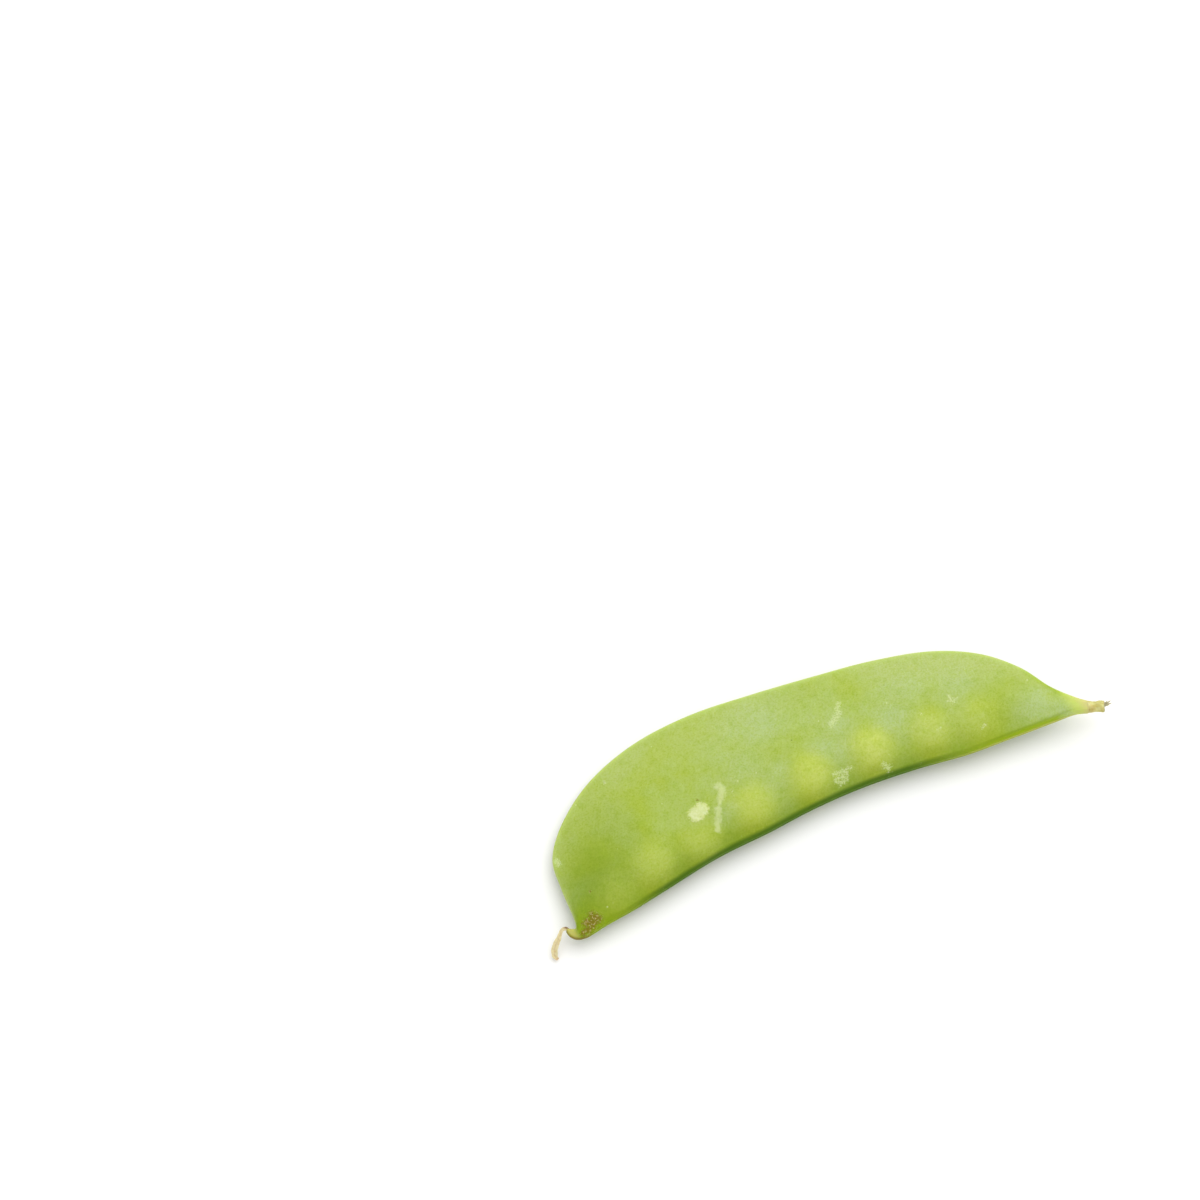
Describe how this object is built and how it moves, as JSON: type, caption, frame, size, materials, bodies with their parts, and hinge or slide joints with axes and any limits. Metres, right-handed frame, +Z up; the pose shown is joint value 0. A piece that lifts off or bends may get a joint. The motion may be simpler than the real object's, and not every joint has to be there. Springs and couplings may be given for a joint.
{
  "type": "snow pea pod",
  "caption": "Fresh flat snow pea pod, lying on one valve, with a row of seed bumps, a stem stub at one end and a dry style at the beak.",
  "frame": {"origin": "centre of the bounding box's base, on the surface that the pod lies on", "axes": "+X along the pod from the beak to the stem stub, +Y from the seed edge to the arched back edge, +Z up"},
  "size_m": [0.0898, 0.026, 0.0055],
  "materials": {
    "pod_skin": "waxy satin green skin, paler on the rim and yellower over the seeds",
    "stem_tissue": "matt straw-coloured stalk end with torn grey-brown strands",
    "dry_style": "matt dry cream ribbon, brown at both ends"
  },
  "bodies": {
    "root": {"pod": "pod_skin", "stem_stub": "stem_tissue", "dried_style": "dry_style"}
  },
  "joints": []
}
